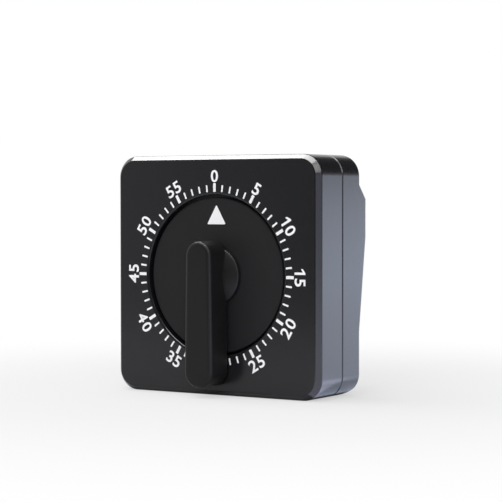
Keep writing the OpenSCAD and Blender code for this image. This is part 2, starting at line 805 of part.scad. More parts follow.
module lever_knob() {
    rim_y = disc_recess - hub_rim;
    cap_r = (hub_r * hub_r + hub_dome * hub_dome) / (2 * hub_dome);
    cap_angle = asin(hub_r / cap_r);
    dome = [for (i = [1:arc_steps]) let (a = cap_angle * (1 - i / arc_steps))
        [cap_r * sin(a), rim_y - hub_dome + cap_r * (1 - cos(a))]];
    // The two sides of the grip are tangent to its two round ends
    side_len = grip_span * cos(grip_taper);
    inner = -2 * (tip_r - blunt_r) - over;
    color("#1d1d1e") seat() difference() {
        union() {
            for (s = [0, 1]) mirror([s, 0, 0]) at([0, blunt_z]) rotate([0, -grip_taper, 0])
                translate([0, 0, -side_len]) linear_extrude(side_len)
                    polygon(concat([[inner, -grip_gap]], grip_side(blunt_r), [[inner, -grip_rise]]));
            for (end = [[blunt_z, blunt_r], [tip_r - grip_tip, tip_r]]) at([0, end[0]])
                turned() polygon(concat([[0, -grip_gap]], grip_side(end[1]), [[0, -grip_rise]]));
            turned() polygon(concat([[0, disc_recess], [hub_r, disc_recess], [hub_r, rim_y + hub_soft],
                [hub_r - hub_soft, rim_y - hub_soft / 3]], dome));
            rod(disc_recess - eps, stem_end - disc_recess, stem_r);
            for (sx = [-1, 1]) at([sx * peg_x, 0]) rod(disc_recess - eps, disc_t, peg_r);
        }
        slab(bore_floor - grip_rise, grip_rise - bore_floor + front_plate_y) arbor_end(fit);
    }
}

// Section of the arbor's front end: round with one flat
module arbor_end(gap) {
    side = 4 * main_arbor_r;
    intersection() {
        circle(main_arbor_r + gap);
        translate([-side / 2, arbor_flat + gap - side]) square(side);
    }
}

module main_arbor() {
    collar_y = gap_y + end_play;
    color("#b8b8bc") seat() {
        slab(arbor_tip, stem_end - arbor_tip) arbor_end(0);
        rod(stem_end - eps, strike_y + strike_t + stub - stem_end, main_arbor_r);
        rod(collar_y, main_y - collar_y, main_arbor_r + 2 * step_in);
    }
}

module main_wheel() {
    color("#c9a227") seat() train_wheel(main_y, main_teeth, main_module, main_phase, main_arbor_r + fit, 0);
}

module ratchet_wheel() {
    pitch = 360 / ratchet_teeth;
    // A tooth's steep side stands just ahead of the click's tip
    lead = 1.5;
    start = click_angle - lead;
    color("#a8a8ac") seat() slab(ratchet_y, wheel_t) difference() {
        polygon([for (k = [0:ratchet_teeth - 1], r = [ratchet_r, ratchet_r - ratchet_depth])
            polar(r, start + k * pitch)]);
        circle(main_arbor_r + fit);
    }
}

module click_post() {
    foot_y = main_y + wheel_t;
    color("#b8b8bc") seat() at(click_at) {
        rod(foot_y, ratchet_y - foot_y - slack, click_pin_r + step_in);
        rod(foot_y, ratchet_y - foot_y + wheel_t + slack, click_pin_r);
    }
}

module click() {
    low = click_place(click_rise - click_r + step_in, click_len);
    high = click_place(click_rise + click_r - step_in, click_len);
    color("#a8a8ac") seat() slab(ratchet_y, wheel_t) difference() {
        union() {
            translate(click_at) circle(click_r);
            polygon([click_place(0, 0), click_place(click_tip_w, 0),
                click_place(click_hook_out + click_tip_w, click_hook_back / 3),
                click_place(click_arch_out + click_arm_w, click_arch_back), high, low,
                click_place(click_arch_out, click_arch_back), click_place(click_hook_out, click_hook_back)]);
        }
        translate(click_at) circle(click_pin_r + pivot_play);
    }
}

module click_spring() {
    foot = click_place(click_foot_out, click_foot_back);
    foot_y = main_y + wheel_t;
    strip_w = 0.75 * flat_w;
    rest_out = click_hook_out + click_tip_w + strip_w / 2 + stub;
    color("#cfd2d6") seat() {
        slab(ratchet_y + 2 * slack, flat_w)
            bar(foot, click_place(rest_out, click_hook_back + flat_w), strip_w);
        at(foot) rod(foot_y, ratchet_y - foot_y + 2 * slack + flat_w / 2, flat_w);
    }
}

module alarm_cam() {
    notch_w = 2 * nose_r + over;
    color("#d9d9d2") seat() slab(strike_y, strike_t) difference() {
        circle(cam_r);
        translate([cam_r - cam_notch, -notch_w / 2]) square([2 * cam_notch, notch_w]);
        circle(main_arbor_r + fit);
    }
}

module mainspring() {
    inside_r = main_arbor_r + slack + spring_strip / 2;
    outside_r = spring_r - spring_strip / 2;
    hook_at = pillars_at[0];
    hook_r = pillar_r + fit + spring_strip / 2;
    // The strip leaves the coil where it can run straight past the pillar's side
    leave = atan2(hook_at[1], hook_at[0]) - acos((outside_r - hook_r) / norm(hook_at));
    steps = 24 * spring_turns;
    line = [for (i = [0:steps])
        polar(inside_r + (outside_r - inside_r) * i / steps, leave - 360 * spring_turns * (1 - i / steps))];
    outer = [for (p = line) p * (1 + spring_strip / 2 / norm(p))];
    inner = [for (p = reversed(line)) p * (1 - spring_strip / 2 / norm(p))];
    color("#8f98a3") seat() slab(spring_y, spring_w) {
        polygon(concat(outer, inner));
        bar(line[steps], hook_at + polar(hook_r, leave), spring_strip);
        translate(hook_at) rotate(leave) difference() {
            circle(hook_r + spring_strip / 2);
            circle(hook_r - spring_strip / 2);
            translate([-2 * hook_r, -4 * hook_r]) square(4 * hook_r);
        }
    }
}

// ------------------------------------------------------------ train

module second_arbor() {
    color("#b8b8bc") seat() at(second_at)
        pinion_arbor(main_module, second_pinion_phase, main_y, plate_t + strike_gap + strike_t + stub,
            arbor_r);
}

module second_wheel() {
    color("#c9a227") seat() at(second_at)
        train_wheel(second_y, second_teeth, second_module, second_phase, arbor_r + fit, wheel_spokes);
}

module strike_wheel() {
    // Two points stand clear of the pallet at rest
    rest_angle = 5;
    root = 0.45;
    tip = 0.25;
    color("#c9a227") seat() at(second_at) slab(strike_y, strike_t) difference() {
        union() {
            circle(arbor_r + step_in);
            for (i = [0:strike_points - 1]) rotate(rest_angle + (i + 0.5) * 360 / strike_points)
                polygon([[0, -root], [strike_r, -tip], [strike_r, tip], [0, root]]);
        }
        circle(arbor_r + fit);
    }
}

module third_arbor() {
    color("#b8b8bc") seat() at(third_at)
        pinion_arbor(second_module, third_pinion_phase, second_y, plate_t + stub, pivot_r);
}

module third_wheel() {
    color("#c9a227") seat() at(third_at)
        train_wheel(third_y, third_teeth, third_module, third_phase, arbor_r + fit, wheel_spokes);
}

module escape_arbor() {
    color("#b8b8bc") seat() at(escape_at)
        pinion_arbor(third_module, escape_pinion_phase, third_y, plate_t + stub, pivot_r);
}

module escape_wheel() {
    tooth = 360 / escape_teeth;
    root = 0.35;
    tip = 0.08;
    inside_r = escape_root_r - stub;
    color("#c9a227") seat() at(escape_at) slab(escape_y, wheel_t) difference() {
        union() {
            circle(escape_root_r);
            for (k = [0:escape_teeth - 1]) rotate(escape_phase + k * tooth)
                polygon([[inside_r, -root], [escape_r, -tip], [escape_r, tip], [inside_r, root]]);
        }
        circle(arbor_r + fit);
        for (i = [0:2]) rotate(i * 120) translate([escape_root_r / 2 + stub, 0]) circle(arbor_r);
    }
}

// ------------------------------------------------------------ escapement

module anchor_arbor() {
    color("#b8b8bc") seat() at(anchor_at) arbor(plate_t + stub, pivot_r);
}

module anchor() {
    color("#a8a8ac") seat() slab(anchor_y, anchor_t) difference() {
        union() {
            translate(anchor_at) circle(arbor_r + 2 * step_in);
            for (p = pins_at) bar(anchor_at, p, anchor_w);
        }
        translate(anchor_at) circle(arbor_r + fit);
        for (p = pins_at) translate(p) circle(pin_r + fit);
    }
}

module anchor_pins() {
    start = escape_y - 2 * slack;
    color("#d8d8dc") seat() for (p = pins_at) at(p) rod(start, anchor_y + anchor_t - start, pin_r);
}

module balance_bar() {
    reach = polar(balance_len - balance_end_r, anchor_dir + 90);
    color("#c9a227") seat() slab(balance_y, balance_t) difference() {
        union() {
            bar(anchor_at - reach, anchor_at + reach, balance_w);
            for (s = [-1, 1]) translate(anchor_at + s * reach) circle(balance_end_r);
            translate(anchor_at) circle(arbor_r + 2 * step_in);
        }
        translate(anchor_at) circle(arbor_r + fit);
    }
}

// ------------------------------------------------------------ hammer

module hammer() {
    finger = nose_at + [nose_reach, 0];
    color("#a8a8ac") seat() slab(strike_y, strike_t) difference() {
        union() {
            translate(hammer_at) circle(hammer_post_r + 3 * step_in);
            bar(hammer_at, elbow_at, hammer_w);
            bar(elbow_at, head_at, hammer_w);
            bar(elbow_at, shoulder_at, 2 * pallet_r);
            bar(shoulder_at, pallet_at, 2 * pallet_r);
            bar(hammer_at, finger, hammer_w);
            bar(finger, nose_at, 2 * nose_r);
        }
        translate(hammer_at) circle(hammer_post_r + pivot_play);
        translate(head_at) circle(head_pin_r + fit);
    }
}

module hammer_head() {
    color("#c9a227") seat() at(head_at) {
        rod(strike_y, strike_t + eps, head_pin_r);
        rod(strike_y + strike_t, hammer_head_len, hammer_head_r);
    }
}

front_shell();
rear_cover();
case_screws();
back_magnets();
front_plate();
back_plate();
pillars();
pillar_nuts();
movement_screws();
bell_post();
bell();
bell_screw();
hammer_post();
hammer_spring();
mainspring();
pointer_disc();
lever_knob();
main_arbor();
main_wheel();
ratchet_wheel();
alarm_cam();
click_post();
click_spring();
click();
second_arbor();
second_wheel();
strike_wheel();
third_arbor();
third_wheel();
escape_arbor();
escape_wheel();
anchor_arbor();
anchor();
anchor_pins();
balance_bar();
hammer();
hammer_head();
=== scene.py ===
# %% [markdown]
# # A wind-up kitchen timer
# The timer is a closed plastic box with a dial sunk into its face and a lever knob on the dial. The gear
# movement inside comes from the CAD model. This first cell loads that model as a fixed frame. Everything
# made later takes its place from it, so nothing has to be fitted by eye.

import json
import math

import bmesh
import bpy
from mathutils import Matrix, Vector


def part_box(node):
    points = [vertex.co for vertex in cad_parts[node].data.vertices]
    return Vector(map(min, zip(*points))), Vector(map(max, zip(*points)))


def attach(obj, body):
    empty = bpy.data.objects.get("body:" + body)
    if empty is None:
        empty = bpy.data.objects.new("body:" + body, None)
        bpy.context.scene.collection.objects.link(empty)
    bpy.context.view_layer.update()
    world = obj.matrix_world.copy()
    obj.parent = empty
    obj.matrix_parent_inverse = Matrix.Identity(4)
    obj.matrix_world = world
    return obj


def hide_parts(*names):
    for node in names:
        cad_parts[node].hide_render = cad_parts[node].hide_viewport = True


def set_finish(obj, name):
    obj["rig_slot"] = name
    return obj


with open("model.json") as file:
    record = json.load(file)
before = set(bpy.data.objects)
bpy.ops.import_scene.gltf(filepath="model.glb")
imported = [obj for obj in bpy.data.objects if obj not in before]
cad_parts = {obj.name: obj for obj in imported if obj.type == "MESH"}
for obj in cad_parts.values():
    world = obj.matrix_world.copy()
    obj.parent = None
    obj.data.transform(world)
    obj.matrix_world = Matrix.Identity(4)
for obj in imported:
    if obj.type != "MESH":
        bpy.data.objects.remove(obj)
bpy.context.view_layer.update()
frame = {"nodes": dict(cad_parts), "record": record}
MM = 0.001
nodes = frame["nodes"]

# %% [markdown]
# The dial gives the places of the visible pieces: its axis runs front to back through the middle of the
# pointer disc, and the face of the case is the plane that the print lies on. The script measures both on the
# CAD nodes. Depths are counted backwards from the face, as on a drawing of the case. SEAM is the joint between
# the two housings, BACK the flat back and FAR the raised band on it. WALL and CORNER are the thickness of the
# walls and the radius of the corners.

# %% Measure the dial and the case
shell_low, shell_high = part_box("front_shell")
cover_low, cover_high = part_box("rear_cover")
disc_low, disc_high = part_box("pointer_disc")
face_y = shell_low.y
axis = Vector((0, face_y, (disc_low.z + disc_high.z) / 2))
case_w = shell_high.x - shell_low.x
case_h = shell_high.z - shell_low.z
middle = Vector((0, face_y, (shell_low.z + shell_high.z) / 2))
half_w, half_h = case_w / MM / 2, case_h / MM / 2
WALL, CORNER = 1.8, 6.0
SEAM, BACK, FAR = 12.8, 23.0, 26.7
print("face at", round(face_y / MM, 2), "axis at", round(axis.z / MM, 2))
print("case", [2 * half_w, round(2 * half_h, 2)])
print("rear cover's depths:", [round((corner.y - face_y) / MM, 2) for corner in (cover_low, cover_high)])

# %% [markdown]
# Every piece ends in the same way: its bmesh becomes an object at the origin, edges sharper than a limit
# stay crisp, and the rest is shaded smooth. A Weighted Normal modifier lets the large flat faces win over
# the narrow bevels beside them, so that flats look flat and only the edges catch the light.

# %% Helpers that turn a bmesh into a finished piece
MERGE, SHARP, FLAT_WEIGHT = 1e-7, 35, 80


def linked(name, bm):
    """An object at the origin, made from a bmesh."""
    mesh = bpy.data.meshes.new(name)
    bm.to_mesh(mesh)
    bm.free()
    made = bpy.data.objects.new(name, mesh)
    bpy.context.scene.collection.objects.link(made)
    return made


def finish_piece(bm, name, body, slot_name, weighted=True):
    bmesh.ops.remove_doubles(bm, verts=bm.verts, dist=MERGE)
    bmesh.ops.recalc_face_normals(bm, faces=bm.faces)
    for edge in bm.edges:
        edge.smooth = not (edge.is_manifold and edge.calc_face_angle(0) > math.radians(SHARP))
    for face in bm.faces:
        face.smooth = True
    piece = linked(name, bm)
    if weighted:
        normals = piece.modifiers.new("flats", "WEIGHTED_NORMAL")
        normals.keep_sharp = True
        normals.weight = FLAT_WEIGHT
    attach(piece, body)
    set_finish(piece, slot_name)
    print(name, "has", len(piece.data.polygons), "faces")
    return piece

print("edges sharper than", SHARP, "degrees stay crisp")

# %% [markdown]
# Round pieces such as the disc are turned: half of their section is drawn as a line of radii and depths,
# and spun once round the dial's axis. The spin merges its last step with its first, and the points on the
# axis are merged afterwards, so the skin is closed.

# %% Helpers that turn a section round the dial's axis
ROUND_STEPS = 128


def turned(section):
    """A body of revolution, from radii and depths in millimetres."""
    bm = bmesh.new()
    verts = [bm.verts.new(axis + Vector((r * MM, y * MM, 0))) for r, y in section]
    edges = [bm.edges.new(pair) for pair in zip(verts, verts[1:])]
    bmesh.ops.spin(bm, geom=verts + edges, cent=axis, axis=(0, 1, 0), angle=math.tau,
                   steps=ROUND_STEPS, use_merge=True)
    bmesh.ops.remove_doubles(bm, verts=bm.verts, dist=MERGE)
    return bm


def arc(r, y, radius, start, end, steps):
    """Points of a section on an arc round a centre at r and y, between two angles in degrees."""
    angles = [math.radians(start + (end - start) * i / steps) for i in range(steps + 1)]
    return [(r + radius * math.cos(a), y + radius * math.sin(a)) for a in angles]

print("a turned piece has", ROUND_STEPS, "steps round its axis")

# %% [markdown]
# A moulded box starts as a cube of the right size, and the four edges that run front to back are bevelled
# to the corner radius. Its rims are softened afterwards: a helper finds the edges that lie at one depth and
# bevels them. Bevels in that order give the same soft corner that a moulding tool gives.

# %% Helpers that make a box with round corners and soften its rims
LEVEL, CORNER_STEPS = 1e-6, 14


def bevel(bm, edges, width, steps):
    """Bevels edges by a width in millimetres."""
    bmesh.ops.bevel(bm, geom=edges, offset=width * MM, segments=steps, profile=0.5,
                    affect="EDGES", material=-1)


def moulded_box(low, high, corner, steps=CORNER_STEPS):
    """A box between two corners given from the middle of the face, in millimetres."""
    low, high = middle + Vector(low) * MM, middle + Vector(high) * MM
    bm = bmesh.new()
    bmesh.ops.create_cube(bm, size=1)
    bmesh.ops.scale(bm, vec=high - low, verts=bm.verts)
    bmesh.ops.translate(bm, vec=(low + high) / 2, verts=bm.verts)
    along = [e for e in bm.edges if abs(e.verts[0].co.y - e.verts[1].co.y) > LEVEL]
    bevel(bm, along, corner, steps)
    return bm


def case_box(start, end, inset=0):
    """A slice of the case between two depths, or of the room inside its walls."""
    w, h = half_w - inset, half_h - inset
    return moulded_box((-w, start, -h), (w, end, h), CORNER - inset)


def soften_rim(bm, depth, width, steps):
    """Bevels the edges that lie at one depth."""
    y = face_y + depth * MM
    bevel(bm, [e for e in bm.edges if all(abs(v.co.y - y) < LEVEL for v in e.verts)], width, steps)

print("corner radius", CORNER, "mm in", CORNER_STEPS, "steps")

# %% [markdown]
# Wells, bosses, slots and screw holes are joined to a housing or cut out of it by Boolean modifiers. Each
# tool shape is a bmesh of its own. The helper links them for a moment, reads the evaluated result back into
# a new bmesh, and removes the helpers, so no live Boolean is left on the piece.

# %% Helpers that make tool shapes, join them to a bmesh and cut them out of it
HOLE_STEPS = 48


def carved(base, joined=(), cut=()):
    """The base with some shapes joined to it and others cut out of it. All of them are used up."""
    shapes = []
    for bm in [base, *joined, *cut]:
        bmesh.ops.recalc_face_normals(bm, faces=bm.faces)
        shapes.append(linked("shape", bm))
    for n, shape in enumerate(shapes[1:]):
        modifier = shapes[0].modifiers.new("carve", "BOOLEAN")
        modifier.operation = "UNION" if n < len(joined) else "DIFFERENCE"
        modifier.solver = "EXACT"
        modifier.object = shape
    bpy.context.view_layer.update()
    result = bmesh.new()
    result.from_object(shapes[0], bpy.context.evaluated_depsgraph_get())
    for shape in shapes:
        bpy.data.objects.remove(shape)
    return result


def rod(x, z, start, end, radius):
    """A plain cylinder along the depth, at x and z from the middle of the case, in millimetres."""
    bm = bmesh.new()
    made = bmesh.ops.create_cone(bm, cap_ends=True, segments=HOLE_STEPS, radius1=radius * MM,
                                 radius2=radius * MM, depth=(end - start) * MM)
    centre = middle + Vector((x, (start + end) / 2, z)) * MM
    place = Matrix.Translation(centre) @ Matrix.Rotation(math.radians(90), 4, "X")
    bmesh.ops.transform(bm, matrix=place, verts=made["verts"])
    return bm


def pushed(bm, faces, step):
    """Extrudes flat faces by a step in metres, which makes them a solid."""
    grown = bmesh.ops.extrude_face_region(bm, geom=faces)
    moved = [v for v in grown["geom"] if isinstance(v, bmesh.types.BMVert)]
    bmesh.ops.translate(bm, vec=step, verts=moved)


def bar_across(section, width):
    """A bar across the case, from a closed section of depths and heights, in millimetres."""
    bm = bmesh.new()
    side = bm.faces.new([bm.verts.new(middle + Vector((-width / 2, y, z)) * MM) for y, z in section])
    pushed(bm, [side], (width * MM, 0, 0))
    bmesh.ops.recalc_face_normals(bm, faces=bm.faces)
    return bm

print("a drilled hole has", HOLE_STEPS, "sides")

# %% [markdown]
# The front housing is a shallow tray. Its rim is a flat chamfer, deeper than it is wide: the front of a box
# is inset and pushed forwards in one step, which leaves exactly that slope, and the two edges of the slope
# are softened a little. The well for the pointer disc is cut with a turned tool whose section carries the
# rounded lip.

# %% Make the front housing
SCREW_INSET, BOSS_R, SEAM_CUT = 5.2, 3.2, 0.4
SCREWS = [(sx * (half_w - SCREW_INSET), sz * (half_h - SCREW_INSET)) for sx in (-1, 1) for sz in (-1, 1)]


def front_housing():
    chamfer_w, chamfer_d, soft = 1.3, 1.6, 0.2
    face_wall, well_r, well_d, lip_r, cup_wall, bore_r = 2, 22.7, 2.9, 0.7, 1.5, 3.3
    tool_r, clear, hair, over, boss_gap, bore_end = 25, 2, 0.001, 5, 0.1, 5
    tray = case_box(chamfer_d, SEAM)
    front = min(tray.faces, key=lambda f: f.calc_center_median().y)
    bmesh.ops.inset_individual(tray, faces=[front], thickness=chamfer_w * MM, depth=chamfer_d * MM,
                               use_even_offset=True)
    for depth, width, steps in ((0, soft, 3), (chamfer_d, soft, 3), (SEAM, SEAM_CUT, 1)):
        soften_rim(tray, depth, width, steps)
    start, cup_r, cup_d = face_wall / 2, well_r + cup_wall, well_d + cup_wall
    cup = turned([(0, start), (cup_r, start), (cup_r, cup_d), (0, cup_d)])
    lip = arc(well_r + lip_r, lip_r, lip_r, 270, 180, 6)
    well = turned([(0, -clear), (tool_r, -clear), (tool_r, -hair)] + lip + [(well_r, well_d), (0, well_d)])
    bosses = [rod(x, z, start, SEAM - boss_gap, BOSS_R) for x, z in SCREWS]
    hollow = carved(case_box(face_wall, SEAM + over, WALL), cut=[cup, *bosses])
    return carved(tray, cut=[hollow, well, rod(0, 0, face_wall, bore_end, bore_r)])

housing = finish_piece(front_housing(), "front_housing", "case", "case_plastic")
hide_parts("front_shell")

# %% [markdown]
# The rear housing closes the box. A raised band runs across its back: a steep step at the top, a flat part
# for the magnets, and a long slope that runs out lower down. It is a bar drawn from the side, and so is the
# tool that rounds the lower back edge. The hollow uses both again, set in by the wall's thickness.

# %% Draw the raised band and the rounding of the lower edge
BAND_TOP, BAND_HIGH, BAND_LOW, BAND_END = 25.6, 21.6, 10.6, -16.0
LOWER_R, SAME = 5.0, 1e-9


def band(inset=0):
    """The raised band, or the hollow inside it when it is set in."""
    bite, end_soft = 2.2, 1.0
    rise = FAR - BACK
    steep, slope = BAND_TOP - BAND_HIGH, BAND_LOW - BAND_END
    drop = inset * (math.hypot(rise, steep) - steep) / rise
    lift = inset * (math.hypot(rise, slope) - slope) / rise
    root, back, far = BACK - bite, BACK - inset, FAR - inset
    bm = bar_across([(root, BAND_TOP - drop), (back, BAND_TOP - drop), (far, BAND_HIGH - drop),
                     (far, BAND_LOW + lift), (back, BAND_END + lift), (root, BAND_END + lift)],
                    2 * (half_w - inset))
    if not inset:
        ends = [e for e in bm.edges if abs(e.verts[0].co.x - e.verts[1].co.x) < SAME
                and min(v.co.y for v in e.verts) > face_y + BACK * MM - LEVEL]
        bevel(bm, ends, end_soft, 5)
    return bm


def lower_corner(inset=0):
    """What the rounding of the lower back edge takes away."""
    centre = (BACK - LOWER_R, LOWER_R - half_h)
    curve = [(centre[0] + (LOWER_R - inset) * math.sin(math.radians(a)),
              centre[1] - (LOWER_R - inset) * math.cos(math.radians(a))) for a in range(0, 91, 9)]
    outside = [(BACK + 1, centre[1]), (BACK + 1, -half_h - 1), (centre[0], -half_h - 1)]
    return bar_across(curve + outside, 2 * half_w + 2)

print("band from", BAND_END, "to", BAND_TOP, "mm, lower edge rounded by", LOWER_R)

# %% [markdown]
# Screw seats, sound slots for the bell and two magnet pockets are cut last, each with a plain tool of its
# own.

# %% Make the rear housing
MAGNET_X = 20.0
MAGNETS = [(sx * MAGNET_X, (BAND_HIGH + BAND_LOW) / 2) for sx in (-1, 1)]


def rear_housing():
    back_soft, over, overlap = 1.0, 1, 2
    shank_r, head_r, seat = 1.35, 2.7, SEAM + 2.6
    magnet_boss_r, magnet_boss_h, pocket_r, pocket_h, proud = 5.7, 3.8, 4.53, 2.6, 0.2
    slot_gap, slot_w, slot_z, slot_h, slot_d, slot_r = 4.5, 0.8, -20.8, 5.0, 3.6, 0.78
    tray = case_box(SEAM, BACK)
    soften_rim(tray, SEAM, SEAM_CUT, 1)
    soften_rim(tray, BACK, back_soft, 6)
    bosses = [rod(x, z, SEAM, BACK, BOSS_R) for x, z in SCREWS]
    bosses += [rod(x, z, FAR - magnet_boss_h, FAR, magnet_boss_r) for x, z in MAGNETS]
    hollow = carved(case_box(SEAM - overlap, BACK - WALL, WALL), joined=[band(WALL)],
                    cut=[lower_corner(WALL), *bosses])
    cuts = [rod(x, z, SEAM - overlap, BACK + over, shank_r) for x, z in SCREWS]
    cuts += [rod(x, z, seat, BACK + over, head_r) for x, z in SCREWS]
    cuts += [rod(x, z, FAR + proud - pocket_h, FAR + over, pocket_r) for x, z in MAGNETS]
    for i in range(-2, 3):
        x = slot_gap * i
        cuts.append(moulded_box((x - slot_w, BACK - slot_d, slot_z - slot_h),
                                (x + slot_w, BACK + overlap, slot_z + slot_h), slot_r, 6))
    return carved(tray, joined=[band()], cut=[lower_corner(), hollow, *cuts])

rear = finish_piece(rear_housing(), "rear_housing", "case", "case_plastic")
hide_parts("rear_cover")

# %% [markdown]
# The pointer disc is a flat turned plate that sits a little under the face, with a small radius on its rim
# that catches a thin line of light. It turns with the knob.

# %% Turn the pointer disc
DISC_R, DISC_SOFT = 22, 0.5
disc_front = (disc_low.y - face_y) / MM
disc_back = (disc_high.y - face_y) / MM
DISC_RINGS = (0, 6, 20.8)
disc_section = [(r, disc_front) for r in DISC_RINGS]
disc_section += arc(DISC_R - DISC_SOFT, disc_front + DISC_SOFT, DISC_SOFT, -90, 0, 5)
disc_section += [(DISC_R, disc_back), (0, disc_back)]
disc = finish_piece(turned(disc_section), "pointer_plate", "knob", "disc_plastic")
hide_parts("pointer_disc")

# %% [markdown]
# The knob is one moulding: a low hub with a rounded rim and a shallow dome, and a long grip that stands
# clear of the dial. The grip is a little wider at its tip. Its outline starts as a circle whose upper and
# lower halves are scaled to the two end radii and pulled apart, and is then extruded forwards. The front
# edge is bevelled for the fingers.

# %% Make the grip
GRIP_TOP, GRIP_END, GRIP_FRONT, GRIP_STEPS = 9.8, -31.0, -8.9, 64


def grip():
    blunt_r, tip_r, base, finger_soft, base_soft = 4.1, 4.6, -0.4, 1.2, 0.25
    ends = {True: (blunt_r, GRIP_TOP - blunt_r), False: (tip_r, tip_r + GRIP_END)}
    bm = bmesh.new()
    ring = bmesh.ops.create_circle(bm, cap_ends=True, segments=GRIP_STEPS, radius=MM)["verts"]
    half_step = Matrix.Rotation(math.tau / (2 * GRIP_STEPS), 3, "Z")
    turn = Matrix.Rotation(math.radians(90), 3, "X") @ half_step
    bmesh.ops.rotate(bm, cent=(0, 0, 0), matrix=turn, verts=ring)
    for vert in ring:
        radius, height = ends[vert.co.z > 0]
        vert.co = axis + Vector((vert.co.x * radius, base * MM, vert.co.z * radius + height * MM))
    pushed(bm, bm.faces[:], (0, (GRIP_FRONT - base) * MM, 0))
    bmesh.ops.recalc_face_normals(bm, faces=bm.faces)
    soften_rim(bm, GRIP_FRONT, finger_soft, 8)
    soften_rim(bm, base, base_soft, 3)
    return bm

print("grip from", GRIP_END, "to", GRIP_TOP, "mm on the dial, standing", -GRIP_FRONT, "mm off the face")

# %% [markdown]
# The hub is turned. Its rim stands up from the disc and runs over a small radius into the dome. The radius
# is tangent to both, so its centre lies on a line from the dome's own centre. The stem behind passes
# through the disc. Grip and hub are joined into one skin, as they come out of the mould.

# %% Turn the hub and join the grip to it
def hub():
    rim_h, hub_r, dome_h, soft, stem_r, stem_d, sunk = 1.3, 8.15, 2.5, 0.6, 3, 4.8, 0.02
    rim_y = disc_front - rim_h
    cap_r = (hub_r ** 2 + dome_h ** 2) / (2 * dome_h)
    cap_y = rim_y - dome_h + cap_r
    meet = math.degrees(math.acos((hub_r - soft) / (cap_r - soft)))
    soft_y = cap_y - (cap_r - soft) * math.sin(math.radians(meet))
    stem = [(0, stem_d), (stem_r, stem_d), (stem_r, disc_front + sunk), (hub_r, disc_front + sunk)]
    rim = arc(hub_r - soft, soft_y, soft, 0, -meet, 6)
    dome = arc(0, cap_y, cap_r, -meet, -90, 12)
    return turned(stem + rim + dome)

knob = finish_piece(carved(grip(), joined=[hub()]), "knob", "knob", "knob_plastic")
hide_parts("lever_knob")

# %% [markdown]
# The dial's print is thin white ink on the face: sixty ticks, twelve numerals and a triangle on the disc.
# Each tick is a flat bar with small round corners, made from a circle whose four quarters are pulled apart.
# It is extruded by a few hundredths of a millimetre, so that it lies on the face as screen-printed ink
# does. Every fifth tick is longer and wider.

# %% Print the ticks
INK = 0.03 * MM
TICK_STEPS = 16
# each tick's inner radius, outer radius, width and corner radius
LONG_TICK, SHORT_TICK = (23.5, 25.95, 0.86, 0.12), (23.55, 25.5, 0.52, 0.2)


def printed(flat_bm):
    """Lifts flat faces in the X-Z plane off their plane, towards the front, by the ink's thickness."""
    bmesh.ops.recalc_face_normals(flat_bm, faces=flat_bm.faces)
    pushed(flat_bm, flat_bm.faces[:], (0, -INK, 0))
    return flat_bm


def upright(radius, minute, y):
    """The place of a mark drawn flat on X-Y: stood up, pushed out to a radius and turned to its minute."""
    return (Matrix.Translation((axis.x, y, axis.z)) @ Matrix.Rotation(math.radians(6 * minute), 4, "Y")
            @ Matrix.Translation((0, 0, radius * MM)) @ Matrix.Rotation(math.radians(90), 4, "X"))


def ticks():
    bm = bmesh.new()
    for minute in range(60):
        inner, outer, width, corner = LONG_TICK if minute % 5 == 0 else SHORT_TICK
        ring = bmesh.ops.create_circle(bm, cap_ends=True, segments=TICK_STEPS, radius=corner * MM)["verts"]
        half_step = Matrix.Rotation(math.tau / (2 * TICK_STEPS), 3, "Z")
        bmesh.ops.rotate(bm, cent=(0, 0, 0), matrix=half_step, verts=ring)
        for vert in ring:
            vert.co.x += math.copysign((width / 2 - corner) * MM, vert.co.x)
            vert.co.y += math.copysign(((outer - inner) / 2 - corner) * MM, vert.co.y)
        bmesh.ops.transform(bm, matrix=upright((inner + outer) / 2, minute, face_y), verts=ring)
    return printed(bm)

tick_print = finish_piece(ticks(), "dial_ticks", "case", "white_plastic", weighted=False)

# %% [markdown]
# The digits are text objects made into meshes, and a small outline offset makes the built-in letters bold.
# Each digit is measured and scaled to the same height, so the size doesn't depend on the font. The built-in
# 1 is a bare bar, so a 1 with a flag is drawn from seven points. Numerals in the upper half stand with
# their feet towards the dial's axis. Those from 20 to 40 are turned over, so that they read upright too.

# %% Print the numerals
NUMERAL_H, NUMERAL_R = 3.45, 27.92
ONE_W, BOLD, WIDEN = 0.47, 0.018, 1.08
# the gaps between two digits, as parts of their height
GAP, GAP_AFTER_ONE = 0.17, 0.3


def drawn_one():
    """A 1 with a flag, a unit high."""
    bm = bmesh.new()
    points = ((0.28, 0), (ONE_W, 0), (ONE_W, 1), (0.33, 1), (0, 0.77), (0, 0.6), (0.28, 0.75))
    bm.faces.new([bm.verts.new((x, y, 0)) for x, y in points])
    bmesh.ops.bevel(bm, geom=bm.verts[:], offset=0.03, segments=2, profile=0.5, affect="VERTICES", material=-1)
    mesh = bpy.data.meshes.new("digit")
    bm.to_mesh(mesh)
    bm.free()
    return mesh


def digit(character):
    """One bold digit as a mesh, a unit high, with its lower left corner at the origin, and its width."""
    if character == "1":
        return drawn_one(), ONE_W
    curve = bpy.data.curves.new("digit", "FONT")
    curve.body = character
    curve.size = 1
    curve.offset = BOLD
    curve.resolution_u = 4
    letter = bpy.data.objects.new("digit", curve)
    bpy.context.scene.collection.objects.link(letter)
    bpy.context.view_layer.update()
    mesh = bpy.data.meshes.new_from_object(letter.evaluated_get(bpy.context.evaluated_depsgraph_get()))
    bpy.data.objects.remove(letter)
    low = Vector([min(v.co[i] for v in mesh.vertices) for i in range(3)])
    high = Vector([max(v.co[i] for v in mesh.vertices) for i in range(3)])
    tall = 1 / (high.y - low.y)
    mesh.transform(Matrix.Diagonal((WIDEN * tall, tall, 1, 1)) @ Matrix.Translation(-low))
    return mesh, WIDEN * tall * (high.x - low.x)


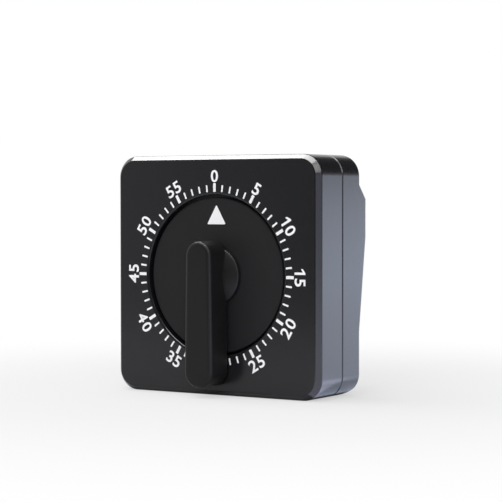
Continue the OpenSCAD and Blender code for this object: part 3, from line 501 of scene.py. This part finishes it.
def numerals():
    bm = bmesh.new()
    for minute in range(0, 60, 5):
        digits = [digit(character) for character in str(minute)]
        gap = GAP_AFTER_ONE if str(minute).startswith("1") else GAP
        start = -(sum(width for _, width in digits) + gap * (len(digits) - 1)) / 2
        flip = Matrix.Rotation(math.pi, 4, "Z") if 20 <= minute <= 40 else Matrix.Identity(4)
        for mesh, width in digits:
            size = Matrix.Diagonal((NUMERAL_H * MM, NUMERAL_H * MM, 1, 1))
            in_row = Matrix.Translation((start, -0.5, 0))
            mesh.transform(upright(NUMERAL_R, minute, face_y) @ flip @ (size @ in_row))
            bm.from_mesh(mesh)
            bpy.data.meshes.remove(mesh)
            start += width + gap
    bmesh.ops.remove_doubles(bm, verts=bm.verts, dist=MERGE)
    return printed(bm)

numeral_print = finish_piece(numerals(), "dial_numerals", "case", "white_plastic", weighted=False)

# %% [markdown]
# The triangle on the disc points at the minutes left. A triangle with softened corners is enough, lifted by
# the same thickness of ink, and it rides on the knob.

# %% Print the triangle on the disc
def triangle():
    half, foot, point, soft, radius = 3.1, -2.7, 2.8, 0.45, 17.1
    bm = bmesh.new()
    verts = [bm.verts.new((x * MM, y * MM, 0)) for x, y in ((-half, foot), (half, foot), (0, point))]
    bm.faces.new(verts)
    bmesh.ops.bevel(bm, geom=verts, offset=soft * MM, segments=4, profile=0.5, affect="VERTICES", material=-1)
    bmesh.ops.transform(bm, matrix=upright(radius, 0, disc_low.y), verts=bm.verts)
    return printed(bm)

triangle_print = finish_piece(triangle(), "pointer_triangle", "knob", "white_plastic", weighted=False)

# %% [markdown]
# A finish is a tree of nodes, and most of its steps repeat: give a socket a value or a link, read a noise,
# remap a value, or combine two masks. Each step has a small helper. All patterns read Object coordinates,
# so they stay still on the piece. A noise's scale counts its waves in a metre.

# %% Helpers that build node trees
def new_group(name, inputs, outputs):
    group = bpy.data.node_groups.new(name, "ShaderNodeTree")
    for label, default in inputs:
        socket = group.interface.new_socket(label, in_out="INPUT", socket_type="NodeSocketFloat")
        socket.default_value = default
    for label, kind in outputs:
        group.interface.new_socket(label, in_out="OUTPUT", socket_type=kind)
    return group, group.nodes.new("NodeGroupInput"), group.nodes.new("NodeGroupOutput")


def add(tree, kind, **values):
    node = tree.nodes.new(kind)
    for key, value in values.items():
        setattr(node, key, value)
    return node


def feed(tree, socket, value):
    """Gives a socket a plain value, or links it to the socket that the value comes from."""
    if isinstance(value, bpy.types.NodeSocket):
        tree.links.new(value, socket)
    else:
        socket.default_value = value


def object_place(tree):
    return add(tree, "ShaderNodeTexCoord").outputs["Object"]


def noise(tree, vector, scale, detail, rough=0.55):
    node = add(tree, "ShaderNodeTexNoise")
    for label, value in (("Vector", vector), ("Scale", scale), ("Detail", detail), ("Roughness", rough)):
        feed(tree, node.inputs[label], value)
    return node.outputs["Fac"]


def spread(tree, value, low, high):
    """Remaps a 0 to 1 value to a range."""
    node = add(tree, "ShaderNodeMapRange")
    for label, end in (("Value", value), ("To Min", low), ("To Max", high)):
        feed(tree, node.inputs[label], end)
    return node.outputs["Result"]


def ramp(tree, value, start, end, kind="SMOOTHSTEP"):
    """A mask that goes from 0 at start to 1 at end."""
    node = add(tree, "ShaderNodeMapRange", interpolation_type=kind)
    for label, level in (("Value", value), ("From Min", start), ("From Max", end)):
        feed(tree, node.inputs[label], level)
    return node.outputs["Result"]


def reckon(tree, operation, *values, clamp=True):
    """A sum or product of values, which is kept between 0 and 1 unless clamp is off."""
    node = add(tree, "ShaderNodeMath", operation=operation, use_clamp=clamp)
    for socket, value in zip(node.inputs, values):
        feed(tree, socket, value)
    return node.outputs["Value"]

print("node groups so far:", len(bpy.data.node_groups))

# %% [markdown]
# Effects that several finishes share are node groups with named sockets. The first is moulded grain: the
# fine spark texture of a plastic tool, which bends the normal a little, and a slow change in gloss where
# the plastic cooled unevenly.

# %% Node group for moulded grain
BUMP_DEPTH = 0.02 * MM


def bumped(tree, height, strength):
    """The normal of a surface that a height pattern roughens."""
    bump = add(tree, "ShaderNodeBump")
    for label, value in (("Distance", BUMP_DEPTH), ("Height", height), ("Strength", strength)):
        feed(tree, bump.inputs[label], value)
    return bump.outputs["Normal"]


def moulded_grain():
    tree, given, out = new_group(
        "moulded_grain",
        [("Grain scale", 2500), ("Grain depth", 0.08), ("Gloss low", 0.3), ("Gloss high", 0.4)],
        [("Normal", "NodeSocketVector"), ("Roughness", "NodeSocketFloat")])
    low, high = given.outputs["Gloss low"], given.outputs["Gloss high"]
    place = object_place(tree)
    fine = noise(tree, place, scale=given.outputs["Grain scale"], detail=2)
    slow = noise(tree, place, scale=45, detail=4, rough=0.6)
    feed(tree, out.inputs["Normal"], bumped(tree, fine, given.outputs["Grain depth"]))
    feed(tree, out.inputs["Roughness"], spread(tree, slow, low, high))
    return tree

grain_group = moulded_grain()
print("group sockets:", [item.name for item in grain_group.interface.items_tree])

# %% [markdown]
# Edges and corners of a used timer are polished by hands and pockets. The Bevel node gives a rounded
# normal, which differs from the true one only near an edge, and a noise breaks the line up so that the wear
# isn't even.

# %% Node group for worn edges
def worn_edges():
    tree, given, out = new_group("worn_edges", [("Width", 0.0005), ("Amount", 0.5)],
                                 [("Mask", "NodeSocketFloat")])
    flat, bent, patchy = 0.99, 0.85, 0.2
    rounded = add(tree, "ShaderNodeBevel", samples=4)
    feed(tree, rounded.inputs["Radius"], given.outputs["Width"])
    agree = add(tree, "ShaderNodeVectorMath", operation="DOT_PRODUCT")
    feed(tree, agree.inputs[0], rounded.outputs["Normal"])
    feed(tree, agree.inputs[1], add(tree, "ShaderNodeNewGeometry").outputs["Normal"])
    edge = ramp(tree, agree.outputs["Value"], flat, bent, "LINEAR")
    patches = noise(tree, object_place(tree), scale=350, detail=4, rough=0.65)
    uneven = reckon(tree, "MULTIPLY", edge, spread(tree, patches, patchy, 1.0))
    feed(tree, out.inputs["Mask"], reckon(tree, "MULTIPLY", uneven, given.outputs["Amount"]))
    return tree

wear_group = worn_edges()
print("group sockets:", [item.name for item in wear_group.interface.items_tree])

# %% [markdown]
# Metal inside the timer is rolled, turned or blanked. Its lines come from noise that is stretched along one
# direction. The same group serves brass plates, steel arbors and the bell, each with its own scale and
# depth.

# %% Node group for tool marks on metal
def tool_marks():
    tree, given, out = new_group(
        "tool_marks",
        [("Line scale", 900), ("Depth", 0.1), ("Gloss low", 0.2), ("Gloss high", 0.4)],
        [("Normal", "NodeSocketVector"), ("Roughness", "NodeSocketFloat"), ("Tarnish", "NodeSocketFloat")])
    low, high = given.outputs["Gloss low"], given.outputs["Gloss high"]
    place = object_place(tree)
    stretch = add(tree, "ShaderNodeMapping", vector_type="POINT")
    feed(tree, stretch.inputs["Scale"], (1.0, 1.0, 0.06))
    feed(tree, stretch.inputs["Vector"], place)
    lines = noise(tree, stretch.outputs["Vector"], scale=given.outputs["Line scale"], detail=3)
    stains = noise(tree, place, scale=120, detail=5, rough=0.65)
    feed(tree, out.inputs["Normal"], bumped(tree, lines, given.outputs["Depth"]))
    feed(tree, out.inputs["Roughness"], spread(tree, lines, low, high))
    feed(tree, out.inputs["Tarnish"], spread(tree, stains, 0.0, 1.0))
    return tree

marks_group = tool_marks()
print("group sockets:", [item.name for item in marks_group.interface.items_tree])

# %% [markdown]
# A plastic finish joins two colours: the plastic itself and the paler tone of a rubbed edge. The wear mask
# mixes them, and the grain group feeds the normal and the roughness. What is the same all over, such as the
# specular level, is set on the shader itself.

# %% Finishes in plastic
def new_material(name):
    material = bpy.data.materials.new(name)
    material.use_nodes = True
    return material, material.node_tree, material.node_tree.nodes["Principled BSDF"]


def place_group(tree, group, **values):
    node = add(tree, "ShaderNodeGroup", node_tree=group)
    for label, value in values.items():
        node.inputs[label.replace("_", " ")].default_value = value
    return node


def colour_mix(tree, factor, first, second):
    """A mix of two colours, each a tuple or a socket."""
    mix = add(tree, "ShaderNodeMix", data_type="RGBA")
    feed(tree, mix.inputs["Factor"], factor)
    for socket, colour in ((mix.inputs[6], first), (mix.inputs[7], second)):
        feed(tree, socket, (*colour, 1) if isinstance(colour, tuple) else colour)
    return mix.outputs[2]


def dress(tree, shader, colour, surface):
    """Gives a shader its colour, and the normal and roughness of a group."""
    feed(tree, shader.inputs["Base Color"], colour)
    for label in ("Normal", "Roughness"):
        feed(tree, shader.inputs[label], surface.outputs[label])


def plastic(name, colour, worn, gloss, grain, specular=0.5, wear=0.35, cloud=0.12):
    material, tree, shader = new_material(name)
    feed(tree, shader.inputs["Specular IOR Level"], specular)
    surface = place_group(tree, grain_group, Grain_scale=grain[0], Grain_depth=grain[1],
                          Gloss_low=gloss[0], Gloss_high=gloss[1])
    edges = place_group(tree, wear_group, Width=0.4 * MM, Amount=wear)
    drift = noise(tree, object_place(tree), scale=60, detail=4, rough=0.6)
    paler = tuple(c * (1 + cloud) for c in colour)
    darker = tuple(c * (1 - cloud) for c in colour)
    base = colour_mix(tree, drift, darker, paler)
    dress(tree, shader, colour_mix(tree, edges.outputs["Mask"], base, worn), surface)
    return material

case_finish = plastic("case_black", (0.0095, 0.0098, 0.0115), (0.025, 0.025, 0.028),
                      gloss=(0.19, 0.25), grain=(2600, 0.06), specular=0.42)
disc_finish = plastic("disc_black", (0.0135, 0.0132, 0.0142), (0.03, 0.03, 0.031),
                      gloss=(0.5, 0.58), grain=(3000, 0.12), specular=0.2)
knob_finish = plastic("knob_black", (0.0072, 0.0072, 0.0074), (0.014, 0.014, 0.014),
                      gloss=(0.42, 0.48), grain=(3000, 0.1), specular=0.25)
ink_finish = plastic("white_ink", (0.92, 0.92, 0.93), (0.8, 0.8, 0.8),
                     gloss=(0.5, 0.6), grain=(4000, 0.05), wear=0.1, cloud=0.02)
nylon_finish = plastic("white_nylon", (0.72, 0.71, 0.66), (0.62, 0.6, 0.54),
                       gloss=(0.38, 0.5), grain=(1800, 0.1), cloud=0.05)
print("plastic finishes:", [m.name for m in (case_finish, disc_finish, knob_finish, ink_finish, nylon_finish)])

# %% [markdown]
# Metal finishes use the tool marks and let a tarnish mask move the colour between fresh and dull. Worn
# edges come out brighter, because handling polishes them.

# %% Finishes in metal
def metal(name, fresh, dull, gloss, lines):
    polish = 1.15
    material, tree, shader = new_material(name)
    feed(tree, shader.inputs["Metallic"], 1)
    marks = place_group(tree, marks_group, Line_scale=lines[0], Depth=lines[1],
                        Gloss_low=gloss[0], Gloss_high=gloss[1])
    edges = place_group(tree, wear_group, Width=0.2 * MM, Amount=0.6)
    base = colour_mix(tree, marks.outputs["Tarnish"], fresh, dull)
    bright = tuple(min(1, c * polish) for c in fresh)
    dress(tree, shader, colour_mix(tree, edges.outputs["Mask"], base, bright), marks)
    return material

finishes = {
    "case_plastic": case_finish, "disc_plastic": disc_finish, "knob_plastic": knob_finish,
    "white_plastic": nylon_finish,
    "plate_brass": metal("rolled_brass", (0.78, 0.6, 0.3), (0.6, 0.43, 0.2), (0.3, 0.45), (700, 0.2)),
    "wheel_brass": metal("cut_brass", (0.83, 0.63, 0.28), (0.66, 0.46, 0.18), (0.2, 0.35), (1200, 0.12)),
    "arbor_steel": metal("turned_steel", (0.62, 0.62, 0.64), (0.48, 0.48, 0.5), (0.15, 0.3), (1500, 0.12)),
    "spring_steel": metal("blued_strip", (0.16, 0.2, 0.3), (0.25, 0.22, 0.22), (0.2, 0.35), (900, 0.15)),
    "screw_steel": metal("zinc_plate", (0.6, 0.62, 0.64), (0.5, 0.5, 0.5), (0.25, 0.4), (1100, 0.15)),
    "bell_metal": metal("nickel_plate", (0.72, 0.71, 0.69), (0.62, 0.6, 0.57), (0.08, 0.16), (500, 0.06)),
    "magnet": metal("dull_nickel", (0.45, 0.45, 0.46), (0.36, 0.36, 0.37), (0.35, 0.5), (800, 0.15)),
}
print("finishes:", len(finishes))

# %% [markdown]
# Each piece takes the finish of its slot, and each node of the CAD model gets the finish that the record
# names for it. The print is ink on the plastic, so it has a finish of its own.

# %% Give every piece and node its finish
def paint(piece, material):
    piece.data.materials.clear()
    piece.data.materials.append(material)


for piece in (housing, rear, disc, knob):
    paint(piece, finishes[piece["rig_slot"]])
for piece in (tick_print, numeral_print, triangle_print):
    paint(piece, ink_finish)
for part in frame["record"]["subparts"]:
    node = nodes[part["node"]]
    for slot in node.material_slots:
        slot.link = "OBJECT"
        slot.material = finishes[part["material_slot"]]

# %% [markdown]
# The timer stands on a plain pale sheet that runs far out behind it and ends a little in front of it. Near
# the timer the sheet is lit, so its soft shadow shows. Further out a mask in Object coordinates fades it to
# plain white, so that it meets the white background without a line. The camera, mirrors and glass all see
# that white. Near the timer the camera still sees a share of it, which makes the shadow paler than the
# lamps alone would.

# %% Lay the floor
def background_rays(tree):
    """Two masks for the rays that show a background: from the camera, and off gloss or through glass."""
    path = add(tree, "ShaderNodeLightPath")
    mirrored = reckon(tree, "ADD", path.outputs["Is Glossy Ray"], path.outputs["Is Transmission Ray"])
    return path.outputs["Is Camera Ray"], mirrored


def blend(tree, factor, first, second):
    """The first shader where the factor is 0, the second where it is 1."""
    mix = add(tree, "ShaderNodeMixShader")
    for socket, value in zip(mix.inputs, (factor, first, second)):
        feed(tree, socket, value)
    return mix.outputs["Shader"]


def floor():
    half, front, sunk = 3, 0.2, 0.02 * MM
    fade_start, fade_end, camera_share = 0.05, 0.21, 0.55
    bm = bmesh.new()
    bmesh.ops.create_grid(bm, x_segments=1, y_segments=1, size=half)
    bmesh.ops.translate(bm, vec=(0, half - front, -sunk), verts=bm.verts)
    plane = linked("floor", bm)
    material, tree, lit = new_material("pale_floor")
    for label, value in (("Base Color", (0.8, 0.8, 0.8, 1)), ("Roughness", 0.9), ("Specular IOR Level", 0)):
        feed(tree, lit.inputs[label], value)
    white = add(tree, "ShaderNodeEmission")
    feed(tree, white.inputs["Strength"], 1)
    away = add(tree, "ShaderNodeVectorMath", operation="LENGTH")
    feed(tree, away.inputs[0], object_place(tree))
    far = ramp(tree, away.outputs["Value"], fade_start, fade_end)
    camera_ray, mirror_ray = background_rays(tree)
    near_share = reckon(tree, "MULTIPLY", camera_ray, camera_share)
    seen = reckon(tree, "ADD", camera_ray, mirror_ray)
    shown = blend(tree, spread(tree, far, near_share, seen), lit.outputs["BSDF"], white.outputs["Emission"])
    feed(tree, tree.nodes["Material Output"].inputs["Surface"], shown)
    plane.data.materials.append(material)

floor()
print("floor material nodes:", len(bpy.data.materials["pale_floor"].node_tree.nodes))

# %% [markdown]
# The background is white paper at a strength of 1. It hangs behind and on both sides, lower on the right
# than on the left, and gloss and glass see it there. The rest of the room is dim in a reflection, which
# keeps black plastic black. For matt surfaces the room is an even grey that opens the shadows. The mask
# reads the direction in which a ray leaves the scene, so it belongs to the room and not to the camera. Its
# edges lean: an amount of one direction is added to another.

# %% Hang the background
def leaning(tree, value, other, amount):
    """A direction with an amount of another added to it, so that a mask's edge leans."""
    return reckon(tree, "MULTIPLY_ADD", other, amount, value, clamp=False)


def paper_mask(tree):
    """1 where the paper hangs, 0 above it and in front."""
    height_lean, side_lean = 0.45, -0.4
    top, full = 0.35, 0.26
    front_edge, front_full = -0.946, -0.64
    toward = add(tree, "ShaderNodeSeparateXYZ")
    feed(tree, toward.inputs["Vector"], add(tree, "ShaderNodeTexCoord").outputs["Generated"])
    x, y, z = toward.outputs
    low = ramp(tree, leaning(tree, z, x, height_lean), top, full)
    right_half = reckon(tree, "MULTIPLY", x, 1)
    beside = ramp(tree, leaning(tree, y, right_half, side_lean), front_edge, front_full)
    return reckon(tree, "MULTIPLY", low, beside)


def background():
    world = bpy.data.worlds.new("studio")
    bpy.context.scene.world = world
    world.use_nodes = True
    tree = world.node_tree
    room = tree.nodes["Background"]
    dim, white = add(tree, "ShaderNodeBackground"), add(tree, "ShaderNodeBackground")
    grey, dark, paper = (0.35, 0.35, 0.355), (0.045,) * 3, (1,) * 3
    for node, colour in ((room, grey), (dim, dark), (white, paper)):
        feed(tree, node.inputs["Color"], (*colour, 1))
        feed(tree, node.inputs["Strength"], 1)
    camera_ray, mirror_ray = background_rays(tree)
    mirrored = blend(tree, paper_mask(tree), dim.outputs["Background"], white.outputs["Background"])
    matt = blend(tree, mirror_ray, room.outputs["Background"], mirrored)
    shown = blend(tree, camera_ray, matt, white.outputs["Background"])
    feed(tree, tree.nodes["World Output"].inputs["Surface"], shown)

background()
print("world:", bpy.context.scene.world.name)

# %% [markdown]
# Black plastic shows mostly what it mirrors, so most lamps are soft panels that stand where it mirrors
# them. The long one overhead draws the bright line on the upper edges, and a smaller one carries it round
# the corner. The smooth flank mirrors a low upright panel behind it and three that lie flat, like a light
# table; the narrow one of these reaches the flank's lower corner. One on the right lights the bevel. The
# overhead, the one at the corner and the three flat ones are seen in gloss only. The two that gloss can't
# see, above and in front, bring the print and the colours to their plain level.

# %% Set the lights
def panel(name, place, aim, size, strength, tint=(1, 1, 1), turned=0, diffuse=True, glossy=True):
    """A soft panel; its strength is a radiance, so a larger panel gets more power."""
    light = bpy.data.lights.new(name, "AREA")
    light.shape = "RECTANGLE"
    light.size, light.size_y = size
    light.energy = strength * size[0] * size[1] * math.pi
    light.color = tint
    lamp = bpy.data.objects.new(name, light)
    bpy.context.scene.collection.objects.link(lamp)
    lamp.visible_camera = False
    lamp.visible_diffuse = diffuse
    lamp.visible_glossy = glossy
    place = Vector(place)
    facing = (Vector(aim) - place).to_track_quat("-Z", "Y").to_matrix().to_4x4()
    lamp.matrix_world = Matrix.Translation(place) @ facing @ Matrix.Rotation(math.radians(turned), 4, "Z")


def table(name, x, y, size, strength, tint, turned=0):
    """A panel that lies flat on the floor and shines upwards, seen in gloss only."""
    height = 0.0002
    panel(name, (x, y, height), (x, y, 1), size, strength, tint, turned, diffuse=False)

cool, pale = (0.64, 0.745, 1.0), (0.74, 0.74, 1.0)
panel("overhead", (-0.22, 0.015, 0.95), (-0.22, 0.015, 0), (1.45, 0.24), 19.0, turned=-21, diffuse=False)
panel("upper_right", (0.72, -0.3, 0.6), (0.03, 0, 0.06), (0.25, 0.7), 7.5, diffuse=False)
panel("above", (-0.35, -0.1, 1.0), (0, 0, 0.03), (0.9, 0.9), 2.2, glossy=False)
panel("behind_right", (0.32, 0.51, 0.034), (0.034, 0.01, 0.03), (0.9, 0.07), 2.2, cool)
table("table_behind", 0.345, 0.328, (0.61, 0.662), 1.95, cool)
table("table_near", 0.0355, 0.022, (0.009, 0.064), 1.0, cool)
table("table_right", 0.34, -0.127, (0.66, 0.09), 1.8, pale, turned=20.7)
panel("right", (0.655, -0.247, 0.08), (0.034, 0, 0.03), (0.35, 0.17), 1.7, pale)
panel("front", (0.25, -0.95, 0.6), (0, 0, 0.03), (1.2, 0.9), 2.2, glossy=False)

# %% [markdown]
# The camera looks at the timer from the right and almost level, from half a metre away, so that the face
# shows nearly whole and the right side shows how deep the case is. Its place is given from the dial's
# centre, in millimetres.

# %% Set the camera
SENSOR, LENS = 36, 129.0836653
turn, lift, tilt = math.radians(32.407), math.radians(1.702), math.radians(-0.055)
camera_data = bpy.data.cameras.new("camera")
camera_data.sensor_width = SENSOR
camera_data.lens = LENS
camera_data.clip_start = 0.01
camera = bpy.data.objects.new("camera", camera_data)
bpy.context.scene.collection.objects.link(camera)
eye = axis + Vector((279.3, -420.9, 21.9)) * MM
looking = Vector((-math.sin(turn) * math.cos(lift), math.cos(turn) * math.cos(lift), -math.sin(lift)))
facing = looking.to_track_quat("-Z", "Y").to_matrix().to_4x4() @ Matrix.Rotation(tilt, 4, "Z")
camera.matrix_world = Matrix.Translation(eye) @ facing
bpy.context.scene.camera = camera
bpy.context.scene.view_settings.view_transform = "Standard"
print("camera at", [round(c / MM, 1) for c in eye])
